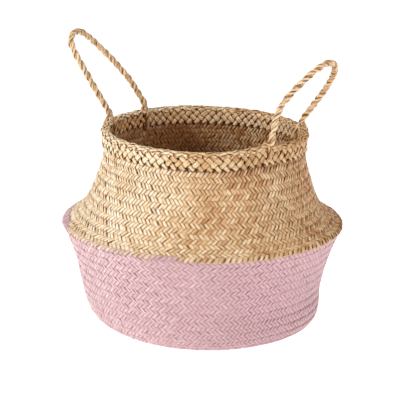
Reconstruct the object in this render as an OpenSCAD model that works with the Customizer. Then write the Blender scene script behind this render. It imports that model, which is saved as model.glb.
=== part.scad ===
// Plaited seagrass belly basket with a braided rim and two twisted rope handles.
// The floor is z = 0, the axis of the bowl is Z, and lengths are in millimetres.

/* [Bowl] */
// Diameter at the belly fold, the widest line
belly_d = 350; // [320:1:380]
// Height of the belly fold above the floor
belly_h = 128; // [115:1:140]
// Diameter of the flat that rests on the floor
base_d = 236; // [220:1:250]
// Thickness of the plaited wall
wall_t = 3; // [2:0.1:3.5]

/* [Neck] */
// Outer diameter where the shoulder ends and the neck begins
neck_low_d = 268; // [260:1:280]
// Outer diameter of the neck just under the rim
neck_top_d = 248; // [246:1:252]
// Height at which the neck begins
neck_low_h = 181; // [176:1:186]
// Lean of the neck and rim towards +X, in degrees
neck_lean = 1.5; // [0:0.1:2.5]
// Sideways shift of the neck and rim towards +X
neck_shift = 2; // [0:0.5:4]

/* [Rim] */
// Height of the top of the rim
rim_h = 245; // [240:1:250]
// Height of the braided band round the rim
band_h = 22; // [18:1:26]
// Thickness of each braided band
band_t = 4; // [3:0.5:5]

/* [Handles] */
// Diameter of the twisted two-strand rope
rope_d = 6.2; // [5.5:0.1:6.5]
// Length of rope in which a strand turns once round the other
rope_lay = 24; // [20:1:32]
// Lean of the left handle away from the mouth, in degrees
left_lean = 28; // [20:1:40]
// Lean of the right handle away from the mouth, in degrees
right_lean = 24; // [20:1:40]

/* [Hidden] */

seagrass = [0.80, 0.65, 0.47];
pale_seagrass = [0.84, 0.72, 0.53];
pink_paint = [0.84, 0.69, 0.70];

belly_r = belly_d / 2;
base_r = base_d / 2;
neck_low_r = neck_low_d / 2;
neck_top_r = neck_top_d / 2;
body_gap = 0.5;                     // clearance between parts that move apart
curve_steps = 8;                    // straight pieces in each bend of an outline

// The rim wraps the neck's top edge: core, cap braid, outer and inner braids.
rim_r = neck_top_r - wall_t / 2;    // radius of the middle of the rim
rim_half = wall_t / 2 + band_t;     // half of the rim's whole thickness
cap_z = rim_h - rim_half;           // where the cap braid sits on the bands
core_r = 1.8;                       // radius of the stem bundle inside the cap
core_z = cap_z + core_r + 0.1;
band_z = rim_h - band_h;            // lower edge of the bands

// Each strand of the rope is a round cord, a little clear of the other one.
strand_r = rope_d / 2 - 1.65;
strand_offset = 1.65;
strand_sides = 8;
rings_per_lay = 8;

// Feet of the handles: azimuth of each round the rim, and the pivot height above it.
left_back_az = 129;
left_front_az = 165;
right_front_az = -51;
right_back_az = 12;
tail_r = 1.4;
knot_r = 2.6;
pivot_z = rim_h + 2 * tail_r + rope_d / 2 + 1.2;
root_gap = knot_r + 0.9;            // where the rope starts, measured from the pivot
hole_z = band_z - 5;                // height of the holes that the tails go through
hole_r = 2.1;

// The loops between their feet, as points [along the line of the feet, up the lean, outward].
left_loop = [[-25, 43, 2], [-3, 89, 7], [31, 113, 3], [63, 97, -4], [55, 47, -4]];
right_loop = [[-45, 37, -12], [-24, 82, -2], [14, 98, 6], [54, 82, 10], [74, 46, 7]];

// ---------- curves ----------

// A quadratic curve from a to c, pulled towards b.
function bend(a, b, c, n = curve_steps) =
    [for (i = [0:n]) let (t = i / n) (1 - t) * (1 - t) * a + 2 * t * (1 - t) * b + t * t * c];

// A point of a smooth curve that passes through the points p.
function spline_point(p, s) = let (
        last = len(p) - 1,
        i = min(floor(s), last - 1),
        t = s - i,
        p1 = p[i],
        p2 = p[i + 1],
        p0 = i == 0 ? [p1[0], p1[1] - 30, p1[2]] : p[i - 1],
        p3 = i == last - 1 ? [p2[0], p2[1] - 30, p2[2]] : p[i + 2]
    ) 0.5 * (2 * p1 + (p2 - p0) * t + (2 * p0 - 5 * p1 + 4 * p2 - p3) * t * t
        + (3 * p1 - p0 - 3 * p2 + p3) * t * t * t);

function unit(v) = v / norm(v);

// Lengths along the curve at each of n + 1 even steps of its parameter.
function run_lengths(points) = let (n = len(points)) [
    for (i = 0, d = 0; i < n; d = d + (i + 1 < n ? norm(points[i + 1] - points[i]) : 0), i = i + 1) d
];

// ---------- solids ----------

// A round cord through points that already lie close together; across gives each ring's axes.
module cord(points, r, across, sides = strand_sides) {
    n = len(points);
    verts = [for (i = [0:n - 1]) for (k = [0:sides - 1]) let (a = 360 * k / sides)
        points[i] + r * (cos(a) * across[i][0] + sin(a) * across[i][1])];
    side_faces = [for (i = [0:n - 2]) for (k = [0:sides - 1]) let (
            a = i * sides + k,
            b = i * sides + (k + 1) % sides
        ) each [[a, a + sides, b], [b, a + sides, b + sides]]];
    start_face = [for (k = [0:sides - 1]) k];
    end_face = [for (k = [sides - 1:-1:0]) (n - 1) * sides + k];
    polyhedron(concat(verts, [for (v = verts) v]), concat(side_faces, [start_face], [end_face]));
}

// A closed shell whose rings lean and shift more the higher they are; profile is [r, z, share].
module leaning_shell(profile, sides = 72) {
    n = len(profile);
    verts = [for (p = profile) for (k = [0:sides - 1]) let (
            a = 360 * k / sides,
            x = p[0] * cos(a),
            h = p[1] - belly_h,
            lean = neck_lean * p[2]
        ) [
            x * cos(lean) + h * sin(lean) + neck_shift * p[2],
            p[0] * sin(a),
            belly_h + h * cos(lean) - x * sin(lean)
        ]];
    faces = [for (i = [0:n - 1]) for (k = [0:sides - 1]) let (
            j = (i + 1) % n,
            a = i * sides + k,
            b = i * sides + (k + 1) % sides,
            c = j * sides + k,
            d = j * sides + (k + 1) % sides
        ) each [[a, c, b], [b, c, d]]];
    polyhedron(verts, faces);
}

// Everything from the neck up leans and shifts as one.
module on_neck() {
    translate([neck_shift, 0, belly_h]) rotate([0, neck_lean, 0]) translate([0, 0, -belly_h]) children();
}

// ---------- bowl ----------

module base_mat() {
    color(seagrass) cylinder(r = base_r, h = wall_t, $fn = 96);
}

module lower_wall() {
    corner = [belly_r - 26.4, 43];
    flank = [belly_r - 18.4, 80];
    outer = concat(
        bend([base_r, 0], [base_r + 22, 0], corner),
        bend(flank, [belly_r - 9, 112], [belly_r, belly_h])
    );
    inner = concat(
        bend([belly_r - wall_t - 0.8, belly_h], [belly_r - wall_t - 9.5, 111], flank - [wall_t, 0]),
        bend(corner - [wall_t, 0], [base_r + 22 - wall_t, wall_t], [base_r, wall_t])
    );
    color(pink_paint) rotate_extrude($fn = 96) polygon(concat(outer, inner));
}

module shoulder_wall() {
    top_z = neck_low_h - body_gap;
    outer = bend([belly_r - 2.6, belly_h + 3.3], [belly_r - 27, belly_h + 9], [neck_low_r + 0.2, top_z]);
    inner = bend([neck_low_r - wall_t + 0.2, top_z], [belly_r - 30, belly_h + 7.5],
        [belly_r - 5.5, belly_h + 1.2]);
    rise = top_z - belly_h;
    outline = concat([[belly_r, belly_h]], outer, inner, [[belly_r - 6.5, belly_h]]);
    color(seagrass) leaning_shell([for (p = outline) [p[0], p[1], (p[1] - belly_h) / rise]]);
}

// ---------- neck and rim ----------

module neck_wall() {
    top_z = core_z - core_r - 0.2;
    outer = bend([neck_low_r, neck_low_h], [neck_top_r + 2.5, hole_z - 18], [neck_top_r, hole_z]);
    inner = [for (i = [curve_steps:-1:0]) outer[i] - [wall_t, 0]];
    color(seagrass) on_neck() difference() {
        rotate_extrude($fn = 96) polygon(concat(outer,
            [[neck_top_r, top_z], [neck_top_r - wall_t, top_z]], inner));
        for (az = [left_back_az, left_front_az, right_front_az, right_back_az])
            rotate([0, 0, az]) translate([rim_r, 0, hole_z]) rotate([0, 90, 0])
                cylinder(r = hole_r, h = 4 * wall_t, center = true, $fn = 32);
    }
}

module rim_core() {
    color(seagrass) on_neck() rotate_extrude($fn = 96)
        translate([rim_r, core_z]) circle(r = core_r, $fn = 32);
}

module rim_cap_braid() {
    color(pale_seagrass) on_neck() rotate_extrude($fn = 96) translate([rim_r, cap_z]) difference() {
        circle(r = rim_half, $fn = 48);
        translate([0, core_z - cap_z]) circle(r = core_r + 0.2, $fn = 32);
        translate([-rim_half - 1, -2 * rim_half]) square([2 * rim_half + 2, 2 * rim_half]);
    }
}

// A band of the rim's height, r being its inner radius.
module rim_band(r) {
    rotate_extrude($fn = 96) translate([r, band_z]) square([band_t, cap_z - band_z]);
}

module rim_outer_braid() {
    color(pale_seagrass) on_neck() rim_band(neck_top_r);
}

module rim_inner_braid() {
    color(seagrass) on_neck() rim_band(neck_top_r - wall_t - band_t);
}

// ---------- handles ----------

function foot(az) = [rim_r * cos(az), rim_r * sin(az), pivot_z];

// A loop with its two ends, which stand just clear of the pivots.
function whole_loop(loop, from_az, to_az) = let (half = norm(foot(to_az) - foot(from_az)) / 2)
    concat([[-half, root_gap, 0]], loop, [[half, root_gap, 0]]);

// Places a loop so that its feet stand at two azimuths and it leans away from the mouth.
module place_handle(from_az, to_az, lean) {
    on_neck() translate((foot(from_az) + foot(to_az)) / 2)
        rotate([0, 0, (from_az + to_az) / 2 + 90]) rotate([90 + lean, 0, 0]) children();
}

// One strand of a loop's rope; side is 0 or 180, the strand's place in the twist.
module strand(loop, side) {
    last = len(loop) - 1;
    fine = [for (i = [0:120]) spline_point(loop, last * i / 120)];
    runs = run_lengths(fine);
    turns = round(runs[120] / rope_lay * 2) / 2;
    n = ceil(turns * rings_per_lay);
    middle = [for (k = [0:n]) let (s = lookup(runs[120] * k / n, [for (i = [0:120]) [runs[i], i]]))
        spline_point(loop, last * s / 120)];
    along = [for (k = [0:n]) unit(middle[min(k + 1, n)] - middle[max(k - 1, 0)])];
    flat = [for (k = [0:n]) unit(cross(along[k], [0, 0, 1]))];
    up = [for (k = [0:n]) cross(flat[k], along[k])];
    centres = [for (k = [0:n]) let (a = 360 * turns * k / n + side)
        middle[k] + strand_offset * (cos(a) * flat[k] + sin(a) * up[k])];
    cord(centres, strand_r, [for (k = [0:n]) [flat[k], -up[k]]]);
}

// A strand's end, from its start at [sideways, up] above the rim to the hole under the band.
// inward is 1 for the tail inside the rim and -1 for the one outside; it crosses the rim's
// shoulder at the height over.
module tail(az, inward, start, over) {
    half = rim_half + tail_r + 0.15;
    hole_drop = hole_z - rim_h;
    route = concat(
        bend(start, [half - 0.5, over], [half, -6], 5),
        bend([half, -band_h - 0.5], [half, hole_drop], [0.1, hole_drop], 5)
    );
    n = len(route);
    points = [for (p = route) [rim_r - inward * p[0], 0, rim_h + p[1]]];
    along = [for (k = [0:n - 1]) k == n - 1 ? [inward, 0, 0]
        : unit(points[k + 1] - points[max(k - 1, 0)])];
    on_neck() rotate([0, 0, az])
        cord(points, tail_r, [for (v = along) [cross([0, 1, 0], v), [0, 1, 0]]]);
}

// The outer tail also carries the knot where the two strands part.
module tail_outer(az) {
    color(pale_seagrass) {
        tail(az, -1, [0, pivot_z - rim_h - knot_r + 0.4], tail_r + 0.6);
        on_neck() rotate([0, 0, az]) translate([rim_r, 0, pivot_z]) sphere(r = knot_r, $fn = 32);
    }
}

module tail_inner(az) {
    color(seagrass) tail(az, 1, [tail_r + 0.2, 2 * tail_r], 2 * tail_r);
}

module left_handle_strand(side) {
    color(pale_seagrass) place_handle(left_back_az, left_front_az, left_lean)
        strand(whole_loop(left_loop, left_back_az, left_front_az), side);
}

module right_handle_strand(side) {
    color(pale_seagrass) place_handle(right_front_az, right_back_az, right_lean)
        strand(whole_loop(right_loop, right_front_az, right_back_az), side);
}

base_mat();
lower_wall();
shoulder_wall();
neck_wall();
rim_core();
rim_cap_braid();
rim_outer_braid();
rim_inner_braid();
left_handle_strand(0);  // left_handle_strand_1
left_handle_strand(180);  // left_handle_strand_2
right_handle_strand(0);  // right_handle_strand_1
right_handle_strand(180);  // right_handle_strand_2
tail_outer(left_front_az);  // left_front_tail_outer
tail_inner(left_front_az);  // left_front_tail_inner
tail_outer(left_back_az);  // left_back_tail_outer
tail_inner(left_back_az);  // left_back_tail_inner
tail_outer(right_front_az);  // right_front_tail_outer
tail_inner(right_front_az);  // right_front_tail_inner
tail_outer(right_back_az);  // right_back_tail_outer
tail_inner(right_back_az);  // right_back_tail_inner
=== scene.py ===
"""The looks of a plaited seagrass belly basket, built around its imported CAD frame.

The wall is really plaited: every strip of the weave is its own band of geometry that passes over
and under the strips that cross it. Lengths are metres, the floor is z = 0 and the bowl's axis is Z.
"""

import math

import bpy
import numpy as np
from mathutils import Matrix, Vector


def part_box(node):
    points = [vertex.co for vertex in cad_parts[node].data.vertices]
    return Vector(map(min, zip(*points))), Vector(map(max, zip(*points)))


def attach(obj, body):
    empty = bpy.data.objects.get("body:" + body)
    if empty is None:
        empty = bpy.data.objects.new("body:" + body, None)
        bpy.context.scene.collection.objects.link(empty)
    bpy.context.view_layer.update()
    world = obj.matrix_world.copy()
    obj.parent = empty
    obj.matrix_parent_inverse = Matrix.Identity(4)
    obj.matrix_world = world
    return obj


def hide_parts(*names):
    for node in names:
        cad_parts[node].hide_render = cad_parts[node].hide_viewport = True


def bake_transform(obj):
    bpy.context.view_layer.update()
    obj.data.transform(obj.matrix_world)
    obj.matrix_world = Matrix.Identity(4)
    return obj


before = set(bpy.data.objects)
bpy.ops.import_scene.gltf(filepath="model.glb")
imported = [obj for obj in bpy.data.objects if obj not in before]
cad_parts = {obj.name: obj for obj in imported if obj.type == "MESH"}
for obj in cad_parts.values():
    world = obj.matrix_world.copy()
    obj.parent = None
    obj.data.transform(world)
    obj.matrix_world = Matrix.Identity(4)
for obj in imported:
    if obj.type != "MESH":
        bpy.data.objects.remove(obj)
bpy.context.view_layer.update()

MM = 0.001
TAU = 2 * math.pi


# ---------- sizes taken from the frame ----------


def half_width(node):
    """Half of a CAD node's size along Y, where no lean changes it."""
    low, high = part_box(node)
    return (high.y - low.y) / 2


BASE_R = half_width("base_mat")
BELLY_R = half_width("lower_wall")
BELLY_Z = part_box("lower_wall")[1].z
NECK_LOW_R = half_width("neck_wall")
BAND_R = half_width("rim_outer_braid")
RIM_CORE_T = 1.8 * MM                               # half of the padding ring's thickness
RIM_CORE_R = half_width("rim_core") - RIM_CORE_T    # radius of the middle of the rim
RIM_HALF = BAND_R - RIM_CORE_R                      # half of the rim's thickness
NECK_TOP_R = BAND_R - 4 * MM

# Heights on the neck before it leans.
NECK_LOW_Z = BELLY_Z + 53 * MM
NECK_HOLE_Z = BELLY_Z + 90 * MM
RIM_TOP_Z = BELLY_Z + 117 * MM
BAND_Z = RIM_TOP_Z - 22 * MM
CAP_Z = RIM_TOP_Z - RIM_HALF
PIVOT_Z = BELLY_Z + 124.1 * MM

# The belly tilts and sits a little to one side, and the neck leans towards +X above it.
BELLY_TILT = math.radians(0.8)
NECK_LEAN = math.radians(1.5)
NECK_SHIFT = 2 * MM

# The flat of the bottom sits a little towards +X and -Y, with its -X side off the floor.
FOOT_SHIFT = (7.0 * MM, -3.5 * MM)
FOOT_LIFT = 3.0 * MM

# How far the rim is drawn in and up at the right handle's front foot, and how far round that reaches.
PULL_IN = 8 * MM
PULL_UP = 2.5 * MM
PULL_REACH = math.radians(22)

# The handles' feet, as angles round the rim, and how far the loops lean outward.
LEFT_BACK, LEFT_FRONT = math.radians(129), math.radians(165)
RIGHT_FRONT, RIGHT_BACK = math.radians(-51), math.radians(12)
LEFT_LEAN, RIGHT_LEAN = math.radians(28), math.radians(24)

# Handle loops, as points [along the line of the feet, up the lean, to the side], in millimetres.
LEFT_LOOP = [(-26, 41.5, 2), (-1, 88, 7), (31, 111, 3), (63, 96, -4), (55, 47, -4)]
RIGHT_LOOP = [(-45, 37, -12), (-24, 81, -2), (14, 96, 6), (54, 80.5, 10), (74, 46, 7)]

# The two families of strips in every plait: the name of the way it slants, and that as a sign.
HANDS = (("right", 1), ("left", -1))


# ---------- small helpers ----------


def smooth_step(x):
    """0 below 0, 1 above 1 and an even turn between."""
    x = np.clip(x, 0, 1)
    return x * x * (3 - 2 * x)


def unit(v):
    """Vectors along the last axis, brought to length 1."""
    return v / np.linalg.norm(v, axis=-1, keepdims=True)


def bend(a, b, c):
    """Eleven points of a quadratic curve from a to c, pulled towards b."""
    t = np.linspace(0, 1, 11)[:, None]
    a, b, c = (np.array(p, float) for p in (a, b, c))
    return (1 - t) ** 2 * a + 2 * t * (1 - t) * b + t * t * c


def run_lengths(points):
    """Length along a line of points, at each point."""
    steps = np.linalg.norm(np.diff(points, axis=0), axis=1)
    return np.concatenate([[0], np.cumsum(steps)])


def even_points(points, step):
    """The same line, with points about a step apart."""
    runs = run_lengths(points)
    at = np.linspace(0, runs[-1], max(2, round(runs[-1] / step) + 1))
    return np.stack([np.interp(at, runs, points[:, k]) for k in range(points.shape[1])], axis=1)


def soften(points, width):
    """The same line with its corners rounded; its two ends stay in place."""
    kernel = np.hanning(2 * width + 3)[1:-1]
    kernel /= kernel.sum()
    padded = np.concatenate([
        2 * points[0] - points[width:0:-1], points, 2 * points[-1] - points[-2:-width - 2:-1]
    ])
    return np.stack([np.convolve(padded[:, k], kernel, "valid") for k in range(points.shape[1])], axis=1)


def smooth_curve(points, step):
    """A Catmull-Rom curve through points, with even steps."""
    p = np.array(points, float)
    p = np.concatenate([[2 * p[0] - p[1]], p, [2 * p[-1] - p[-2]]])
    t = np.linspace(0, 1, 24, endpoint=False)[:, None]
    parts = []
    for a, b, c, d in zip(p, p[1:], p[2:], p[3:]):
        squared = (2 * a - 5 * b + 4 * c - d) * t ** 2
        cubed = (3 * b - a - 3 * c + d) * t ** 3
        parts.append(0.5 * (2 * b + (c - a) * t + squared + cubed))
    parts.append(p[-2:-1])
    return even_points(np.concatenate(parts), step)


class Waves:
    """A smooth, seeded unevenness round the basket and up its wall, about -1 to 1."""

    def __init__(self, seed, harmonics, height):
        rng = np.random.default_rng(seed)
        waves = 7
        self.round = rng.integers(1, harmonics + 1, waves)
        self.up = rng.normal(0, 1, waves) / height
        self.phase = rng.uniform(0, TAU, waves)
        self.weight = rng.uniform(0.4, 1, waves)
        self.weight /= self.weight.sum() * 0.6

    def at(self, s, phi):
        """The unevenness at lengths s up the wall and angles phi round it."""
        total = np.zeros(np.broadcast(s, phi).shape)
        for m, k, p, w in zip(self.round, self.up, self.phase, self.weight):
            total = total + w * np.sin(m * phi + k * s + p)
        return total


# ---------- meshes ----------

# The materials read these fields, which are numbers at a mesh's points:
#   tone    each blade's own number, 0 to 1, which makes it browner or paler
#   depth   1 where a blade lies on top of the plait, -1 where it dives under
#   across  place across the blade, in millimetres, and along, the place along it
#   edge    1 at a blade's edges
#   middle  0 on the crease along a blade
#   outer   1 on the outside of the basket, 0 on its inside
#    painted_light  painted light and shade: the grass is drawn paler where light falls, browner in shade
#   paint   height above the edge of the paint, in millimetres


def make_mesh(name, verts, faces, material, fields, uvs):
    """A mesh from arrays. faces and uvs hold one array for each number of corners that a face can have,
    and fields one for each field, by name."""
    me = bpy.data.meshes.new(name)
    corners = np.concatenate([f.ravel() for f in faces])
    totals = np.concatenate([np.full(len(f), f.shape[1]) for f in faces])
    me.vertices.add(len(verts))
    me.vertices.foreach_set("co", verts.astype(np.float32).ravel())
    me.loops.add(len(corners))
    me.loops.foreach_set("vertex_index", corners.astype(np.int32))
    me.polygons.add(len(totals))
    me.polygons.foreach_set("loop_start", (np.cumsum(totals) - totals).astype(np.int32))
    me.polygons.foreach_set("loop_total", totals.astype(np.int32))
    me.update(calc_edges=True)
    me.polygons.foreach_set("use_smooth", np.ones(len(totals), bool))
    for field, values in fields.items():
        layer = me.attributes.new(field, "FLOAT", "POINT")
        layer.data.foreach_set("value", values.astype(np.float32).ravel())
    flat_uvs = np.concatenate([u.reshape(-1, 2) for u in uvs])
    me.uv_layers.new(name="OFBake").data.foreach_set("uv", flat_uvs.astype(np.float32).ravel())
    me.materials.append(material)
    piece = bpy.data.objects.new(name, me)
    bpy.context.scene.collection.objects.link(piece)
    return piece


def spread(shape):
    """A call that repeats an array of fewer numbers over a shape."""
    return lambda values: np.broadcast_to(values, shape).copy()


def strip_mesh(name, verts, material, fields, cells):
    """A mesh of many bands. verts is [strip, ring, corner, xyz], and every band is closed at its ends."""
    strips, rings, sides = verts.shape[:3]
    index = np.arange(strips * rings * sides).reshape(strips, rings, sides)
    nxt = np.roll(index, -1, axis=2)
    quads = np.stack([index[:, :-1], nxt[:, :-1], nxt[:, 1:], index[:, 1:]], axis=-1)
    ends = np.stack([index[:, 0, ::-1], index[:, -1]], axis=1)

    # Each band gets a cell of its own in the baked picture: round it across, along it upward.
    columns, rows = cells
    left = (np.arange(strips) % columns)[:, None, None]
    low = (np.arange(strips) // columns)[:, None, None]
    k = np.arange(sides)[None, None, :]
    m = np.arange(rings)[None, :, None]
    pad = 0.08          # the share of a cell's width that is left empty at each side

    def place(k, m):
        u = (left + pad + (1 - 2 * pad) * k / sides) / columns
        v = (low + pad / 4 + (1 - pad / 2) * m / (rings - 1)) / rows
        return np.stack(np.broadcast_arrays(u, v), axis=-1)

    a = place(k, m)
    b = place(k + 1, m)
    quad_uv = np.stack([a[:, :-1], b[:, :-1], b[:, 1:], a[:, 1:]], axis=3)
    end_uv = np.stack([a[:, 0, ::-1], a[:, -1]], axis=1)
    return make_mesh(
        name, verts.reshape(-1, 3), [quads.reshape(-1, 4), ends.reshape(-1, sides)],
        material, fields, [quad_uv, end_uv])


# ---------- the shape of the wall ----------


class Profile:
    """A line [radius, height] that a weave's middle follows, with its outward side and its lengths. It
    lies inset inside the surface through points, with the corners rounded by softness."""

    def __init__(self, points, inset, softness=0):
        line = even_points(np.array(points, float), 0.5 * MM)
        if softness:
            line = soften(line, softness)
        along = unit(np.gradient(line, axis=0))
        out = np.stack([along[:, 1], -along[:, 0]], axis=1)
        self.line = even_points(line - out * inset, 0.25 * MM)
        self.runs = run_lengths(self.line)
        self.along = unit(np.gradient(self.line, axis=0))
        self.out = np.stack([self.along[:, 1], -self.along[:, 0]], axis=1)
        self.length = self.runs[-1]

    def at(self, s):
        """Radius and height, the direction along the line and the outward one, at lengths s."""
        columns = (*self.line.T, *self.along.T, *self.out.T)
        return [np.interp(s, self.runs, column) for column in columns]

    def length_at_height(self, z):
        """Length along the line where it first reaches a height."""
        return self.runs[np.argmax(self.line[:, 1] >= z)]


def wall_points():
    """The wall's outside, from the edge of the base mat round the floor corner, up the flank to the fold
    at the belly, over the shoulder and up the neck."""
    corner = (BELLY_R - 26.4 * MM, 43 * MM)
    flank = (BELLY_R - 18.4 * MM, 80 * MM)
    fold = (BELLY_R, BELLY_Z)
    past_fold = (BELLY_R - 2.6 * MM, BELLY_Z + 3.3 * MM)
    shoulder_top = (NECK_LOW_R, NECK_LOW_Z - 0.5 * MM)
    neck_low = (NECK_LOW_R, NECK_LOW_Z)
    neck_top = (NECK_TOP_R, NECK_HOLE_Z)
    return np.concatenate([
        bend((BASE_R, 0), (BASE_R + 27 * MM, 0), corner),
        bend(flank, (BELLY_R - 9 * MM, BELLY_Z - 16 * MM), fold),
        bend(past_fold, (BELLY_R - 27 * MM, BELLY_Z + 9 * MM), shoulder_top),
        bend(neck_low, (NECK_TOP_R + 2.5 * MM, NECK_HOLE_Z - 18 * MM), neck_top),
        [(NECK_TOP_R, CAP_Z)],
    ])


def lean(points, bowl_share, neck_share, foot_share=0.0):
    """Tilts points about the belly's centre. bowl_share goes from 0 at the floor to 1 at the belly,
    neck_share from 0 at the belly to 1 at the neck, and foot_share is 1 on the flat of the bottom and
    fades up the bowl."""
    bowl_share = smooth_step(bowl_share)
    angle = BELLY_TILT * bowl_share + (NECK_LEAN - BELLY_TILT) * neck_share
    c, s = np.cos(angle), np.sin(angle)
    x, y, h = points[..., 0], points[..., 1], points[..., 2] - BELLY_Z
    lift = FOOT_LIFT * foot_share * np.clip(0.5 - 0.5 * x / BASE_R, 0, 1)
    return np.stack([
        x * c + h * s + NECK_SHIFT * bowl_share + FOOT_SHIFT[0] * foot_share,
        y + FOOT_SHIFT[1] * foot_share,
        BELLY_Z + h * c - x * s + lift,
    ], axis=-1)


def pulled_in(points):
    """Draws the top of the upright neck in, and up a little, where the right handle's front foot pulls it."""
    x, y, z = points[..., 0], points[..., 1], points[..., 2]
    away = (np.arctan2(y, x) - RIGHT_FRONT) / PULL_REACH
    low = NECK_LOW_Z + 10 * MM
    share = np.exp(-away ** 2) * smooth_step((z - low) / (RIM_TOP_Z - low))
    share = share * (1 - smooth_step((z - RIM_TOP_Z) / (PIVOT_Z - RIM_TOP_Z)))
    r = np.hypot(x, y)
    return np.stack([x - x / r * PULL_IN * share, y - y / r * PULL_IN * share, z + PULL_UP * share], axis=-1)


def on_neck(points):
    """Places points of the upright neck where the leaning neck is."""
    return lean(pulled_in(np.asarray(points, float)), 1.0, 1.0)


WALL = Profile(wall_points(), inset=1.5 * MM, softness=6)
BELLY_S = WALL.runs[np.argmax(WALL.line[:, 0])]
NECK_S = WALL.length_at_height(NECK_LOW_Z)


# ---------- plaiting ----------

NEXT_STRIP = 37.0       # how much further on in the noise each next strip begins, in millimetres


def over_under_twill(t):
    """A strip's height in a two-over, two-under plait, -1 to 1, t rows along it."""
    return np.clip(1.5 * np.cos(math.pi * (t - 0.5) / 2), -1, 1)


def over_under_plain(t):
    """The same in a one-over, one-under plait."""
    return np.clip(1.35 * np.cos(math.pi * t), -1, 1)


def unevenness(rng, t, count, ragged):
    """How far each strip wanders to its side and up or down, and its width as a share of the even one."""
    sway = rng.normal(0, 0.18 * MM * ragged, (count, 1)) + 0.20 * MM * ragged * np.sin(
        t * rng.uniform(0.25, 0.5, (count, 1)) + rng.uniform(0, TAU, (count, 1)))
    lift = rng.normal(0, 0.12 * MM * ragged, (count, 1)) + rng.normal(0, 0.10 * MM * ragged, (count, t.size))
    wide = 1 + rng.normal(0, 0.05 * ragged, (count, 1)) + rng.normal(0, 0.04 * ragged, (count, t.size))
    return sway, lift, wide


def surface_at(profile, s, phi, bump):
    """A profile's surface at lengths s up it and angles phi round it: the radius, the point, and the
    directions round it, up it and out of it."""
    r, z, along_r, along_z, out_r, out_z = profile.at(np.clip(s, 0, profile.length))
    if bump is not None:
        extra = bump(s, phi)
        r = r + out_r * extra
        z = z + out_z * extra
    cos, sin = np.cos(phi), np.sin(phi)
    centre = np.stack([r * cos, r * sin, z], axis=-1)
    e_round = np.stack([-sin, cos, np.zeros_like(phi)], axis=-1)
    e_up = np.stack([along_r * cos, along_r * sin, along_z], axis=-1)
    e_out = np.stack([out_r * cos, out_r * sin, out_z], axis=-1)
    return r, centre, e_round, e_up, e_out


def painted_light_round(phi):
    """Painted light and shade at an angle round the basket, on its outside and on its inside: the grass is
    drawn paler where the key light falls and browner in shade.
    """
    cos, sin = np.cos(phi), np.sin(phi)
    towards_x, away_from_x = np.clip(cos, 0, 1), np.clip(-cos, 0, 1)
    outside = -0.15 * cos - 0.16 * towards_x ** 2 + 0.4 * away_from_x * (1.2 + cos) - 0.09 * sin ** 2
    return outside, -0.46 + 0.27 * cos


def plait(profile, *, count, row, hand, over, samples, width, thick, swing, crown, seed, place,
          bump=None, rise=None, narrow=None, ragged=1.0, foot=0.0, flat=0.45, roll=0.0, growth=0.0):
    """One family of strips of a diagonal plait, as rings of six corners each.

    The plait: count strips go round, row is the first row's height along the profile and growth how much
    taller each next row is, hand is the strips' slant (1 or -1), over gives their height in the plait,
    samples are the rows at which rings are made, and row 0 is foot above the profile's start.
    A strip: width is its share of the spacing, thick its thickness, swing how far it goes out and in,
    crown how rounded its edges are, flat how much of it is flat, roll how far it is turned on its side,
    narrow a further share of its width along it, and ragged how uneven the strips are.
    The basket: bump pushes the surface out, rise lifts the rows, and place turns the surface's points
    into their place on the leaning basket.

    Returns the points, their fields, and where they are: the angle round the basket, the run up the
    profile, and the crossing, which is the run to the middle of the float that a point is on.
    """
    rng = np.random.default_rng(seed)
    t = np.array(samples)[None, :]
    strip = np.arange(count)[:, None]
    phi = TAU / count * (strip + hand * -0.5 * t)

    sway, lift, wide = unevenness(rng, t, count, ragged)
    if narrow is not None:
        wide = wide * narrow(t)

    # The middle line of each strip: s is its length up the profile, and row becomes each row's own height.
    s = run_of_row(t, row, growth) + foot + np.zeros((count, 1))
    row = row * np.exp(growth * t)
    if rise is not None:
        s = s + rise(s, phi)
    r, centre, e_round, e_up, e_out = surface_at(profile, s, phi, bump)

    # Each ring lies across its strip, square to the strip's slant.
    step_round = -hand * r * math.pi / count
    size = np.hypot(step_round, row)
    across = (e_round * row[..., None] - e_up * step_round[..., None]) / size[..., None]
    half = 0.5 * width * (TAU * r / count) * row / size * wide
    level = over(t)
    centre = centre + across * sway[..., None] + e_out * (swing * level + lift)[..., None]

    corner_x = np.array([-flat, flat, 1, flat, -flat, -1])
    corner_z = np.array([0.5, 0.5, 0.5 - crown, -0.5, -0.5, crown - 0.5]) * thick
    outside = (corner_z > -0.2 * thick)[None, None, :]
    corner_z = corner_z + roll * hand * corner_x
    verts = (centre[:, :, None]
             + across[:, :, None] * (half[..., None] * corner_x)[..., None]
             + e_out[:, :, None] * corner_z[None, None, :, None])

    outer_painted_light, inner_painted_light = painted_light_round(phi)
    full = spread(verts.shape[:3])
    fields = {
        "tone": full(rng.uniform(0, 1, (count, 1, 1))),
        "depth": full(np.where(outside, level[..., None], -level[..., None])),
        "across": full((half[..., None] * corner_x) / MM),
        "along": full((t * size)[..., None] / MM + NEXT_STRIP * strip[:, :, None]),
        "outer": full(outside.astype(float)),
        "edge": full((np.abs(corner_x) > 0.9).astype(float)[None, None, :]),
        "painted_light": full(np.where(outside, outer_painted_light[..., None], inner_painted_light[..., None])),
        "middle": full(corner_x[None, None, :] + rng.uniform(-0.3, 0.3, (count, 1, 1))),
    }
    crossing = s + row * (2 * np.floor((t + 0.5) / 2) + 0.5 - t)
    where = {
        "angle": full(np.mod(phi, TAU)[..., None]),
        "run": full(s[..., None]),
        "crossing": full(crossing[..., None]),
    }
    return place(verts, s[..., None]), fields, where


def run_of_row(t, row, growth):
    """Length along the profile at t rows, where each row is taller than the last by growth."""
    return row * (np.expm1(growth * t) / growth if growth else t)


def row_at_run(s, row, growth):
    """The other way round: how many rows there are in a length s."""
    return math.log1p(growth * s / row) / growth


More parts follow.
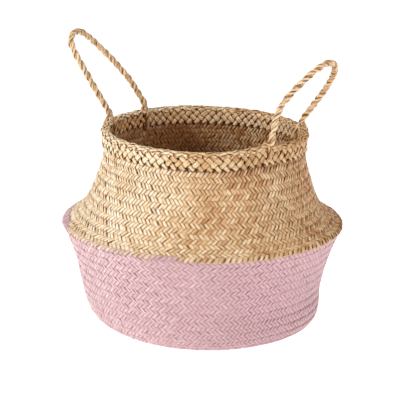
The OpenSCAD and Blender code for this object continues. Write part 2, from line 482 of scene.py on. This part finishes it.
def rows_of(first, last, pattern, period):
    """The t values of a strip's rings: a pattern repeated each period, between two ends."""
    clear = 0.12        # no ring is nearer to an end than this
    repeats = np.arange(math.floor(first / period) - 1, math.ceil(last / period) + 1)
    t = (repeats[:, None] * period + np.array(pattern)[None, :]).ravel()
    t = t[(t > first + clear) & (t < last - clear)]
    return np.concatenate([[first], t, [last]])


# ---------- materials ----------


def linear(*srgb):
    """A colour given as sRGB numbers from 0 to 255, as the linear colour that shaders take."""
    c = np.array(srgb) / 255
    c = np.where(c <= 0.04045, c / 12.92, ((c + 0.055) / 1.055) ** 2.4)
    return (*[float(x) for x in c], 1.0)


class Nodes:
    """A material's node tree, with short calls for the nodes that the materials here share."""

    def __init__(self, name):
        self.material = bpy.data.materials.new(name)
        self.material.use_nodes = True
        self.tree = self.material.node_tree
        self.shader = self.tree.nodes["Principled BSDF"]

    def add(self, kind, **values):
        node = self.tree.nodes.new(kind)
        for key, value in values.items():
            if hasattr(node, key):
                setattr(node, key, value)
            else:
                node.inputs[key.replace("_", " ")].default_value = value
        return node

    def link(self, out, socket):
        self.tree.links.new(out, socket)

    def fill(self, sockets, values):
        """Gives each socket its value, which is a number, a colour or another node's output."""
        for socket, value in zip(sockets, values):
            if isinstance(value, (int, float, tuple)):
                socket.default_value = value
            else:
                self.link(value, socket)

    def field(self, name):
        """One of the numbers that the mesh has at its points."""
        return self.add("ShaderNodeAttribute", attribute_name=name).outputs["Fac"]

    def maths(self, operation, a, b=0.0, clamp=False):
        node = self.add("ShaderNodeMath", operation=operation, use_clamp=clamp)
        self.fill(node.inputs, (a, b))
        return node.outputs[0]

    def times(self, a, b, clamp=False):
        return self.maths("MULTIPLY", a, b, clamp)

    def plus(self, a, b):
        return self.maths("ADD", a, b)

    def minus(self, a, b, clamp=False):
        return self.maths("SUBTRACT", a, b, clamp)

    def above(self, value, start, slope):
        """0 up to start, then rising by slope to no more than 1."""
        return self.times(self.minus(value, start), slope, clamp=True)

    def below(self, value, start, slope):
        """The same, rising where the value falls below start."""
        return self.times(self.minus(start, value), slope, clamp=True)

    def ramp(self, fac, stops):
        """The colour at fac between stops, which are pairs of a position and a colour."""
        node = self.add("ShaderNodeValToRGB")
        elements = node.color_ramp.elements
        while len(elements) < len(stops):
            elements.new(0.5)
        for element, (position, colour) in zip(elements, stops):
            element.position = position
            element.color = colour
        self.link(fac, node.inputs["Fac"])
        return node.outputs["Color"]

    def mix(self, fac, a, b, blend="MIX"):
        node = self.add("ShaderNodeMix", data_type="RGBA", blend_type=blend)
        self.fill((node.inputs[0], node.inputs[6], node.inputs[7]), (fac, a, b))
        return node.outputs[2]

    def vector(self, x, y):
        node = self.add("ShaderNodeCombineXYZ")
        self.fill(node.inputs, (x, y))
        return node.outputs[0]

    def noise(self, vector, scale, detail=2.0, roughness=0.5):
        node = self.add("ShaderNodeTexNoise", Scale=scale, Detail=detail, Roughness=roughness)
        self.link(vector, node.inputs["Vector"])
        return node.outputs["Fac"]

    def bump(self, height, strength, distance):
        """Fine relief on the shader's surface."""
        node = self.add("ShaderNodeBump", Strength=strength, Distance=distance)
        self.link(height, node.inputs["Height"])
        self.link(node.outputs["Normal"], self.shader.inputs["Normal"])


# From the brownest grass to the palest, bare and painted.
STRAW = [
    (0.00, linear(172, 114, 66)),
    (0.20, linear(204, 160, 111)),
    (0.45, linear(226, 192, 148)),
    (0.70, linear(244, 221, 185)),
    (1.00, linear(254, 242, 220)),
]
PINK = [
    (0.00, linear(204, 162, 168)),
    (0.20, linear(211, 170, 176)),
    (0.45, linear(201, 162, 166)),
    (0.70, linear(215, 180, 183)),
    (1.00, linear(232, 202, 205)),
]
# Painted shade, for a blade that dives and for the gap beside it. Rim and ropes, which have no paint, have a
# darker gap.
STRAW_SHADE, PINK_SHADE = linear(156, 88, 38), linear(198, 156, 161)
STRAW_GROOVE_SHADE, PINK_GROOVE_SHADE = linear(104, 55, 18), linear(150, 104, 112)
BARE_GROOVE_SHADE = linear(80, 42, 16)
# Painted shadow: the colour of grass under the rim's bands, which the bands shade.
SHADOW_UNDER_THE_BAND = linear(48, 26, 12)


def fibre_noise(n, across_scale, along_scale, detail, roughness=0.5):
    """Noise drawn out along the blades."""
    place = n.vector(n.times(n.field("across"), across_scale), n.times(n.field("along"), along_scale))
    return n.noise(place, 1.0, detail, roughness)


def blade_tone(n, fibres, brown):
    """0 for brown grass, 1 for the palest: each blade's own tone, with patches and fibres, and with painted
    light and shade.
    """
    place = n.add("ShaderNodeTexCoord").outputs["Object"]
    tone = n.times(n.field("tone"), 0.42)
    tone = n.plus(tone, n.times(fibre_noise(n, 0.25, 0.09, 2.0), 0.75))
    tone = n.plus(tone, n.times(n.noise(place, 22.0, 2.0), 0.50))
    tone = n.plus(tone, n.times(fibres, 0.35))
    tone = n.plus(tone, n.field("painted_light"))
    tone = n.minus(tone, n.times(n.field("outer"), 0.06))
    return n.minus(tone, brown, clamp=True)


def groove_shade_patches(n):
    """0 to 1 in stretches along each blade: how strong the painted shade at its edges and in its gaps is
    there.
    """
    place = n.vector(n.times(n.field("tone"), 50.0), n.times(n.field("along"), 0.16))
    return n.above(n.noise(place, 1.0, 1.0), 0.30, 2.6)


def blade_groove(n, shade_patches, groove_shade, pocket_shade, crease_shade):
    """How strong the painted shade in the gaps between blades is: at their edges, where they dive and in
    creases.
    """
    depth, edge = n.field("depth"), n.field("edge")
    # Painted shade in the gaps at blades' edges, and along a crease down a blade's middle.
    groove = n.times(n.times(n.above(edge, 0.45, 2.8), shade_patches), groove_shade)
    if crease_shade:
        line = n.minus(1.0, n.times(n.maths("ABSOLUTE", n.field("middle")), 5.0), clamp=True)
        groove = n.maths("MAXIMUM", groove, n.times(n.times(line, shade_patches), crease_shade))
    pocket = n.below(depth, 0.52, 2.2)
    pocket = n.times(pocket, n.plus(n.times(edge, 0.9), 0.25))
    pocket = n.times(n.times(pocket, n.plus(shade_patches, 0.35)), pocket_shade)
    groove = n.maths("MAXIMUM", groove, pocket)
    return n.times(groove, n.plus(n.times(n.field("outer"), 0.8), 0.2))


def paint_cover(n):
    """1 where the outside of the plait is painted, with a ragged edge that follows the blades."""
    ragged = fibre_noise(n, 0.8, 0.3, 2.0)
    below = n.plus(n.field("paint"), n.times(n.minus(ragged, 0.5), 1.6))
    return n.times(n.below(below, 0.5, 2.0), n.above(n.field("outer"), 0.8, 5.0))


def grass(name, paint=False, tint=None, dive_shade=0.85, edge_shade=1.0, groove_shade=0.7, pocket_shade=0.75,
          brown=0.47, crease_shade=0.0):
    """Dried seagrass: blades with fine lengthwise fibres, each of its own tone, with painted shade where they
    dive.

    paint covers the outside below the paint's edge, and tint colours bare grass. dive_shade, edge_shade,
    groove_shade, pocket_shade and crease_shade are how strong the painted shade is on a diving blade, at its
    edges, in the gaps beside it, in the gaps where it dives and in the crease along it. brown is how much
    browner all of it is.
    """
    n = Nodes(name)
    fibres = fibre_noise(n, 2.6, 0.10, 3.0, 0.6)
    tone = blade_tone(n, fibres, brown)
    colour = n.ramp(tone, STRAW)
    if tint:
        colour = n.mix(1.0, colour, tint, "MULTIPLY")

    # Painted shade: deep in the plait, and along a blade's edges, the grass is drawn darker and browner where
    # shade falls.
    shade_patches = groove_shade_patches(n)
    dive = n.below(n.field("depth"), 0.55, 0.65)
    edge = n.times(n.above(n.field("edge"), 0.15, 1.3), shade_patches)
    dive = n.maths("MAXIMUM", dive, n.times(edge, edge_shade))
    groove = blade_groove(n, shade_patches, groove_shade, pocket_shade, crease_shade)

    if paint:
        covered = paint_cover(n)
        colour = n.mix(covered, colour, n.ramp(tone, PINK))
        shade = n.mix(covered, STRAW_SHADE, PINK_SHADE)
        dark = n.mix(covered, STRAW_GROOVE_SHADE, PINK_GROOVE_SHADE)
        groove = n.times(groove, n.minus(1.0, n.times(covered, 0.85)))
        rough = n.plus(n.times(covered, 0.16), 0.38)
    else:
        shade, dark = STRAW_SHADE, BARE_GROOVE_SHADE
        rough = n.plus(n.times(fibres, 0.2), 0.28)
    # Painted shade: diving blades and the gaps between blades are drawn darker.
    colour = n.mix(n.times(dive, dive_shade), colour, shade)
    colour = n.mix(groove, colour, dark)
    # Painted shadow: grass under the rim's bands takes the darkest colour.
    colour = n.mix(n.below(n.field("depth"), -1.1, 2.5), colour, SHADOW_UNDER_THE_BAND)
    n.link(colour, n.shader.inputs["Base Color"])
    n.link(rough, n.shader.inputs["Roughness"])
    n.shader.inputs["Specular IOR Level"].default_value = 0.5
    n.bump(fibres, 0.35, 0.25 * MM)
    return n.material


# ---------- the wall and the base ----------

STRIPS = 160
ROW = 2.67 * MM                     # the lowest row; rows grow taller up the wall
ROW_GROWTH = 0.0033
TWILL_STEPS = (-0.25, 0.5, 1.25, 1.75, 2.5, 3.25)
# A depth so low that grass under the rim's bands takes the painted shadow colour.
BAND_SHADOW_DEPTH = -1.5                       # the depth of grass that lies under the rim's bands

uneven = Waves(3, 5, 60 * MM)
drift = Waves(8, 6, 90 * MM)
dye_wave = Waves(21, 7, 1.0)


def wall_place(verts, s):
    """Places points of the upright wall, s up along it, on the leaning basket."""
    off_floor = 0.1 * MM * (1 - smooth_step(s / (16 * MM)))
    verts = verts + np.array([0, 0, 1]) * off_floor[..., None]
    neck_share = np.clip((s - BELLY_S) / (NECK_S - BELLY_S), 0, 1)
    foot_share = 1 - smooth_step(s / (72 * MM))
    return lean(pulled_in(verts), s / BELLY_S, neck_share, foot_share)


def wall_bump(s, phi):
    """How far the wall bulges out of its even shape."""
    calm = smooth_step(s / (30 * MM)) * smooth_step((WALL.length - s) / (40 * MM))
    return 0.9 * MM * uneven.at(s, phi) * calm


def wall_rise(s, phi):
    """How far the rows wander up from level."""
    return 1.3 * MM * drift.at(s, phi) * smooth_step(s / (40 * MM))


def hump(x, middle, width):
    """A smooth hump of height 1."""
    return np.exp(-((x - middle) / width) ** 2)


def dye_height(where):
    """Height above the edge of the paint, in millimetres along the wall. The edge runs just above the
    fold, climbs at -X, dips at +X, and has two small humps and a slight wave between."""
    angle = where["angle"]
    cos = np.cos(angle)
    climb = 9.0 * smooth_step((-cos - 0.93) / 0.07) + 1.0 * hump(cos, -0.24, 0.11)
    dip = 5.6 * smooth_step((cos - 0.20) / 0.60) + 0.35 * hump(cos, -0.71, 0.13)
    line = BELLY_S / MM + 1.3 + climb - dip + 1.0 * dye_wave.at(0, angle)
    return where["crossing"] / MM - line


def wall_weave(part, first_row, last_row, relief, material):
    """The two families of strips between two rows; relief scales their thickness and unevenness."""
    pieces = []
    for side, hand in HANDS:
        verts, fields, where = plait(
            WALL, count=STRIPS, row=ROW, growth=ROW_GROWTH, hand=hand,
            over=lambda t: hand * over_under_twill(t), samples=rows_of(first_row, last_row, TWILL_STEPS, 4),
            width=1.17, thick=1.45 * MM * relief, swing=0.82 * MM * relief, crown=0.5, flat=0.3,
            roll=0.24 * MM * relief, ragged=1.5 * relief, seed=40 + hand,
            place=wall_place, bump=wall_bump, rise=wall_rise)
        # Painted shadow: the outside of the grass under the rim's bands is drawn nearly black.
        band_shadowed = where["run"] > WALL.length_at_height(BAND_Z) - 1.0 * MM
        fields["depth"][band_shadowed & (fields["outer"] > 0.5)] = BAND_SHADOW_DEPTH
        fields["paint"] = dye_height(where)
        pieces.append(strip_mesh(f"{part}_{side}", verts, material, fields, (44, 4)))
    return pieces


def make_wall(material):
    """The bowl's plait, and the shoulder's and neck's above it; the real basket folds at the belly when the
    neck goes down.
    """
    belly_row = row_at_run(BELLY_S, ROW, ROW_GROWTH)
    top_row = row_at_run(WALL.length, ROW, ROW_GROWTH) - 0.8
    lower = wall_weave("lower_weave", 0.0, belly_row, relief=0.62, material=material)
    upper = wall_weave("upper_weave", belly_row, top_row, relief=1.0, material=material)
    for piece in lower:
        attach(piece, "bowl")
    for piece in upper:
        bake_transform(piece)
    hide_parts("lower_wall")
    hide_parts("shoulder_wall", "neck_wall")


def make_base(material):
    """The round bottom: two families of straight strips, cut to a circle."""
    spacing = 5.0 * MM
    middle_z, swing = 1.0 * MM, 0.45 * MM
    rings = 65
    corner_x = np.array([-1, -0.6, 0.6, 1, 0.6, -0.6]) * spacing * 0.5
    corner_z = np.array([0, -0.45, -0.45, 0, 0.45, 0.45]) * MM
    inside = corner_z > 0.1 * MM
    radius = BASE_R + 1.0 * MM
    number = np.arange(-int(radius / spacing), int(radius / spacing) + 1)
    half_run = np.sqrt(np.maximum(radius ** 2 - (number * spacing) ** 2, 0))
    run = half_run[:, None] * np.linspace(-1, 1, rings)
    for side, hand in HANDS:
        rng = np.random.default_rng(70 + hand)
        over = hand * over_under_twill(hand * run / spacing + number[:, None])
        angle = math.radians(45 * hand)
        lengthwise = np.array([math.cos(angle), math.sin(angle), 0])
        sideways = np.array([-math.sin(angle), math.cos(angle), 0])
        beside = number * spacing + rng.normal(0, 0.15 * MM, number.shape)
        centre = run[..., None] * lengthwise + beside[:, None, None] * sideways
        height = (middle_z + swing * over)[..., None] + corner_z
        verts = centre[:, :, None] + sideways * corner_x[:, None] + np.array([0, 0, 1]) * height[..., None]
        verts = lean(verts, 0.0, 0.0, 1.0)
        full = spread(verts.shape[:3])
        fields = {
            "tone": full(rng.uniform(0, 1, (len(number), 1, 1))),
            "depth": full(over[..., None] * np.where(inside, 1, -1)),
            "edge": full((np.abs(corner_x) > 0.45 * spacing).astype(float)),
            "across": full(corner_x / MM),
            "along": full(run[..., None] / MM + 31.0 * (number - number[0])[:, None, None]),
            "outer": full((~inside).astype(float)),
            "paint": full(-10.0),
            # Painted shade: the inside of the bottom is drawn browner, as the bowl's wall shades it.
            "painted_light": full(np.where(inside, -0.22, 0.0)),
        }
        piece = strip_mesh(f"base_weave_{side}", verts, material, fields, (12, 4))
        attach(piece, "bowl")
    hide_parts("base_mat")


# ---------- the rim ----------

PLAIN_STEPS = (-0.3, 0.0, 0.3, 0.5, 0.7, 1.0, 1.3, 1.5)


def narrowed(rows):
    """A strip's width where it narrows to its folded end, as a share; rows is how far the end is."""
    return 0.66 + 0.34 * smooth_step(rows)


def make_band(name, node, profile, material, *, strips, row, rows, start, seed, width, swing,
              narrow=None, set_painted_light=None):
    """A one-over, one-under plait of wider strips that rides on the neck, in place of a CAD node."""
    for side, hand in HANDS:
        verts, fields, where = plait(
            profile, count=strips, row=row, hand=hand, over=lambda t: hand * over_under_plain(t),
            samples=rows_of(*rows, PLAIN_STEPS, 2), width=width, thick=0.8 * MM, swing=swing, crown=0.4,
            seed=seed + hand, place=lambda verts, s: on_neck(verts), ragged=2.0, foot=start, narrow=narrow)
        # Painted light and shade: a band may be given its own, paler or browner round the rim.
        if set_painted_light:
            fields["painted_light"] = set_painted_light(fields["painted_light"], where["angle"])
        piece = strip_mesh(f"{name}_{side}", verts, material, fields, (18, 5))
        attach(piece, "neck")
        if hand > 0:
            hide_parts(node)


def make_rim(material, shaded_inner_material):
    """The rim's outer and inner band, and the cap that lies over them."""
    strips, row = 74, 5.3 * MM
    point = 0.45                    # how far below its last crossing a strip's folded end reaches, in rows
    curl = 2.2 * MM                 # how far in over the rim the bands' tops curl
    curl_z = CAP_Z + RIM_HALF * 0.72
    bulge_z = CAP_Z + RIM_HALF * 0.6
    inner_r = 2 * RIM_CORE_R - BAND_R

    outer = Profile([
        (BAND_R, BAND_Z), (BAND_R, CAP_Z),
        *bend((BAND_R, CAP_Z), (BAND_R, bulge_z), (BAND_R - curl, curl_z)),
    ], inset=2.3 * MM, softness=4)
    make_band("rim_outer_weave", "rim_outer_braid", outer, material, strips=strips, row=row,
              rows=(-point, outer.length / row - point), start=point * row, seed=60, width=0.84,
              swing=0.6 * MM, narrow=lambda t: narrowed(t + 0.2))

    inner = Profile([
        *bend((inner_r + curl, curl_z), (inner_r, bulge_z), (inner_r, CAP_Z)),
        (inner_r, BAND_Z),
    ], inset=1.2 * MM, softness=4)
    last = math.floor(inner.length / row - point) + point
    start = inner.length - last * row
    make_band("rim_inner_weave", "rim_inner_braid", inner, shaded_inner_material, strips=strips, row=row,
              rows=(-start / row, last), start=start, seed=64, width=0.84,
              swing=0.6 * MM, narrow=lambda t: narrowed(last - 0.2 - t),
              # Painted light and shade on the inner band: drawn pale, and browner towards -X, where it lies
              # in shade.
              set_painted_light=lambda painted_light, angle: 0.42 + 0.06 * np.cos(angle) - 0.66 * np.clip(-np.cos(angle), 0, 1))

    arc = np.linspace(math.radians(14), math.radians(166), 30)
    over_top = np.stack([RIM_CORE_R + RIM_HALF * np.cos(arc), CAP_Z + RIM_HALF * np.sin(arc)], axis=1)
    cap = Profile(over_top, inset=0.7 * MM)
    cap_row = 2.0 * MM
    make_band("rim_cap_weave", "rim_cap_braid", cap, material, strips=47, row=cap_row,
              rows=(0, cap.length / cap_row), start=0, seed=68, width=0.9, swing=0.5 * MM,
              # Painted light: the cap, which faces up, is drawn a little paler.
              set_painted_light=lambda painted_light, angle: painted_light + 0.07)


def make_rim_core(material):
    """The padding ring inside the rim, a round cord of grass."""
    low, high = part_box("rim_core")
    middle_z = (low.z + high.z) / 2
    turns, sides = 180, 10
    turn = TAU * np.arange(turns)[:, None] / turns
    side = TAU * np.arange(sides)[None, :] / sides
    r = RIM_CORE_R + RIM_CORE_T * np.cos(side)
    verts = np.stack(np.broadcast_arrays(
        r * np.cos(turn), r * np.sin(turn), middle_z + RIM_CORE_T * np.sin(side)), axis=-1)
    index = np.arange(turns * sides).reshape(turns, sides)
    ahead = np.roll(index, -1, axis=0)
    faces = np.stack([index, ahead, np.roll(ahead, -1, axis=1), np.roll(index, -1, axis=1)], axis=-1)
    quad_corners = ((0, 0), (1, 0), (1, 1), (0, 1))
    uv = np.stack([
        np.stack(np.broadcast_arrays(turn / TAU + i / turns, side / TAU + j / sides), axis=-1)
        for i, j in quad_corners
    ], axis=2)
    full = spread(verts.shape[:2])
    fields = {
        "tone": full(0.5), "depth": full(0.0), "edge": full(0.0), "outer": full(1.0), "painted_light": full(0.0),
        "middle": full(1.0), "across": full(side * RIM_CORE_T / MM), "along": full(turn * RIM_CORE_R / MM),
    }
    piece = make_mesh("rim_core_cord", on_neck(verts).reshape(-1, 3), [faces.reshape(-1, 4)],
                      material, fields, [uv])
    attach(piece, "neck")
    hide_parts("rim_core")


# ---------- the handles ----------

STRAND_OFFSET = 1.5 * MM            # from the rope's middle to a strand's
STRAND_RADIUS = 2.7 * MM
LAY = 26 * MM                       # the length of one turn, of the strands and of the blades in them


def foot(angle, inward=0.0, z=PIVOT_Z):
    """A point over or beside the rim at an angle round it, on the upright neck."""
    r = RIM_CORE_R - inward
    return np.array([r * math.cos(angle), r * math.sin(angle), z])


def loop_points(loop, from_angle, to_angle, tilt):
    """The middle of a handle's rope, from one pivot to the other, on the upright neck."""
    a, b = foot(from_angle), foot(to_angle)
    half = np.linalg.norm(b - a) / 2
    points = smooth_curve([(-half, 0, 0)] + [np.array(p) * MM for p in loop] + [(half, 0, 0)], 1.0 * MM)
    x_axis = (b - a) / (2 * half)
    out = unit((a + b) * (1, 1, 0))
    rise = np.array([0, 0, math.cos(tilt)]) + out * math.sin(tilt)
    side = np.cross(x_axis, rise)
    return (a + b) / 2 + points[:, :1] * x_axis + points[:, 1:2] * rise + points[:, 2:] * side


def carried_frames(line, start):
    """Two directions square to a line at each of its points, carried along without twist."""
    along = unit(np.gradient(line, axis=0))
    first = np.zeros_like(line)
    u = start - along[0] * np.dot(start, along[0])
    for k, t in enumerate(along):
        u = u - t * np.dot(u, t)
        u = u / np.linalg.norm(u)
        first[k] = u
    return along, first, np.cross(along, first)


def tail_points(angle, inward):
    """A strand's end, on the rim's inside (inward = 1) or outside (-1): from under the band, up beside
    the rim, to just short of the pivot. Its points are [off the rim's middle, up from its top], in
    millimetres."""
    side = (RIM_HALF + 1.6 * MM) / MM
    if inward > 0:
        points = [(0.8, -26.8), (side - 1.2, -25), (side, -19), (side, -11)]
    else:
        points = [(1.5, -15.5), (side - 1.4, -13.5), (side - 0.1, -9.5)]
    points += [(side - 0.3, -5), (side - 2.6, -0.2), (side - 4.6, 3.2)]
    return [foot(angle, inward * x * MM, RIM_TOP_Z + z * MM) for x, z in points]


def strand_line(middle, angles, outward, lay):
    """The middle line of one strand, from one of its ends to the other, round a rope's middle line.
    lay gives how tightly it turns along the rope. The turns come out so that both its ends are on the
    same side of the rim: outside if outward is 1, inside if it is -1."""
    radial = [np.array([math.cos(a), math.sin(a), 0.0]) for a in angles]
    along, first, second = carried_frames(middle, radial[0])
    end = radial[1] - along[-1] * np.dot(radial[1], along[-1])
    turn = math.atan2(np.dot(end, second[-1]), np.dot(end, first[-1]))
    runs = run_lengths(middle)
    rate = TAU / LAY * lay(runs / runs[-1])
    twist = np.concatenate([[0], np.cumsum(0.5 * (rate[1:] + rate[:-1]) * np.diff(runs))])
    total = round((twist[-1] - turn) / TAU) * TAU + turn
    theta = twist * total / twist[-1] + (math.pi if outward < 0 else 0)
    line = middle + STRAND_OFFSET * (np.cos(theta)[:, None] * first + np.sin(theta)[:, None] * second)
    start_tail, end_tail = (tail_points(angle, -outward) for angle in angles)
    near_pivot = 3                  # points left out where the tails join
    whole = np.concatenate([start_tail, line[near_pivot:-near_pivot], end_tail[::-1]])
    return soften(even_points(smooth_curve(whole, 0.8 * MM), 0.9 * MM), 2)


def twin_side(line, middle):
    """At each point of a strand, the direction away from its twin, across the rope's middle line, and how
    close the twin is: 1 where the two lie together, 0 where they part at the rim."""
    gaps = line[:, None] - middle[None]
    nearest = gaps[np.arange(len(line)), np.argmin(np.linalg.norm(gaps, axis=2), axis=1)]
    apart = np.linalg.norm(nearest, axis=1)
    return nearest / apart[:, None], 1 - smooth_step((apart - 2.2 * MM) / (1.2 * MM))


def make_rope_strand(name, line, middle, material, seed):
    """A strand of three twisted blades that follows a line on the upright neck, with painted shade where it
    meets its twin about the rope's middle line."""
    rng = np.random.default_rng(seed)
    sides, blades = 12, 3
    line = on_neck(line)
    away, paired = twin_side(line, on_neck(middle))

    # Three bulging blades twist round the strand, which tapers to its ends.
    _, first, second = carried_frames(line, np.array([1.0, 0.3, 0.0]))
    runs = run_lengths(line)
    corner = np.broadcast_to(TAU * np.arange(sides) / sides, (len(line), sides))
    round_blades = corner - runs[:, None] / LAY * TAU
    blade = round_blades * blades
    swell = 1 + 0.07 * np.cos(blade) + 0.05 * np.sin(runs / (9 * MM) + rng.uniform(0, TAU))[:, None]
    taper = 0.55 + 0.45 * smooth_step(np.minimum(runs, runs[-1] - runs) / (5 * MM))[:, None]
    size = STRAND_RADIUS * swell * taper * (0.8 + 0.2 * paired)[:, None]
    radial = np.cos(corner)[..., None] * first[:, None] + np.sin(corner)[..., None] * second[:, None]
    verts = (line[:, None] + size[..., None] * radial)[None]

    # facing is 1 on the side away from the twin strand, and -1 in the crevice between the two.
    facing = (radial * away[:, None]).sum(axis=2)
    # Painted shade: the crevice between the two strands is drawn dark through the depth field.
    crevice_shade = smooth_step((-0.05 - facing) / 0.5) * paired[:, None]
    full = spread(verts.shape[:3])
    which = np.mod(np.floor(blade / TAU), blades).astype(int)
    x = line[:, 0]
    # Painted light and shade: the strand is drawn paler towards -X, the key light's side, and browner where
    # its tails part from the rope.
    painted_light = 0.2 * (x.mean() - x) / np.ptp(x) - 0.2 * (1 - paired)
    fields = {
        "tone": full(rng.uniform(0, 1, blades)[which][None]),
        "depth": full((1 - 2.0 * crevice_shade)[None]),
        "edge": full((0.5 - 0.5 * np.cos(blade))[None]),
        "painted_light": full(painted_light[None, :, None]),
        "across": full((round_blades * STRAND_RADIUS / MM)[None]),
        "along": full((runs / MM)[None, :, None] + 200.0 * seed),
        "outer": full(1.0),
    }
    return strip_mesh(name, verts, material, fields, (1, 1))


def make_handle(side, loop, angles, tilt, lay, material, seed):
    """Both strands of a handle, from foot to foot; each ends beside the rim."""
    middle = loop_points(loop, *angles, tilt)
    pivot = on_neck(foot(angles[0]))
    for number, outward, kind in ((1, 1, "outer"), (2, -1, "inner")):
        line = strand_line(middle, angles, outward, lay)
        piece = make_rope_strand(f"{side}_rope_strand_{number}", line, middle, material, seed + number)
        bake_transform(piece)
        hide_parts(f"{side}_handle_strand_{number}")
        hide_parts(f"{side}_front_tail_{kind}", f"{side}_back_tail_{kind}")


# ---------- floor, light and camera ----------


def make_floor():
    """A wide plain floor, nearly white, that glows a little so that no edge of it shows."""
    n = Nodes("pale_floor")
    speckle = n.noise(n.add("ShaderNodeTexCoord").outputs["Object"], 3.0)
    pale = n.ramp(speckle, [(0, linear(196, 196, 196)), (1, linear(204, 204, 204))])
    n.link(pale, n.shader.inputs["Base Color"])
    n.shader.inputs["Roughness"].default_value = 0.9
    n.shader.inputs["Emission Color"].default_value = (1, 1, 1, 1)
    n.shader.inputs["Emission Strength"].default_value = 0.88
    bpy.ops.mesh.primitive_plane_add(size=12, location=(0, 0, 0))
    floor = bpy.context.object
    floor.name = "floor"
    floor.data.materials.append(n.material)


def disk_light(name, place, size, watts, colour=(1, 1, 1)):
    """A soft round light, turned towards the basket's middle."""
    basket_middle = Vector((0, 0, 0.13))
    data = bpy.data.lights.new(name, "AREA")
    data.shape = "DISK"
    data.size = size
    data.energy = watts
    data.color = colour
    lamp = bpy.data.objects.new(name, data)
    lamp.location = place
    lamp.rotation_euler = (basket_middle - Vector(place)).to_track_quat("-Z", "Y").to_euler()
    bpy.context.scene.collection.objects.link(lamp)


def make_lights():
    """A key light from the front left, a weaker one from the front right, one above, and a dim world."""
    disk_light("key", (-1.9, -1.0, 1.3), size=0.7, watts=36, colour=(1.0, 0.99, 0.97))
    disk_light("fill", (1.75, -1.3, 0.9), size=1.0, watts=17)
    disk_light("top", (0.3, -0.1, 2.2), size=0.5, watts=12)
    world = bpy.data.worlds.new("studio")
    bpy.context.scene.world = world
    world.use_nodes = True
    background = world.node_tree.nodes["Background"]
    background.inputs["Color"].default_value = (1, 1, 1, 1)
    background.inputs["Strength"].default_value = 0.2


def make_camera():
    """A long lens in front of the basket, looking about 16 degrees down."""
    data = bpy.data.cameras.new("camera")
    data.sensor_width = 36
    data.lens = 158.18
    camera = bpy.data.objects.new("camera", data)
    camera.location = (-0.0013, -2.10, 0.752)
    camera.rotation_euler = (math.radians(74.08), 0, 0)
    bpy.context.scene.collection.objects.link(camera)
    bpy.context.scene.camera = camera


make_camera()
make_floor()
make_lights()

wall_grass = grass("plaited_seagrass", paint=True, groove_shade=0.52, pocket_shade=0.7)
rim_grass = grass("rim_seagrass", tint=linear(255, 246, 230), edge_shade=0.6, groove_shade=0.78,
                  pocket_shade=0.3, brown=0.30, crease_shade=0.75)
# A shaded copy of the rim grass for the inner band: its warmer, darker tint stands in for the light inside
# the rim.
shaded_inner_grass = grass("shaded_inner_rim_seagrass", tint=linear(255, 229, 200), edge_shade=0.6, groove_shade=0.9,
                    pocket_shade=0.2, brown=0.30, crease_shade=0.8)
rope_grass = grass("rope_seagrass", tint=linear(255, 245, 232), dive_shade=0.75, groove_shade=0.9, brown=0.38)

make_wall(wall_grass)
make_base(wall_grass)
make_rim(rim_grass, shaded_inner_grass)
make_rim_core(rim_grass)
make_handle("left", LEFT_LOOP, (LEFT_BACK, LEFT_FRONT), LEFT_LEAN,
            lambda share: 1 + 0.15 * np.sin(TAU * share), rope_grass, seed=100)
make_handle("right", RIGHT_LOOP, (RIGHT_FRONT, RIGHT_BACK), RIGHT_LEAN,
            lambda share: 0.72 + 0.75 * smooth_step((share - 0.4) / 0.3), rope_grass, seed=110)

bpy.context.scene.view_settings.view_transform = "Standard"
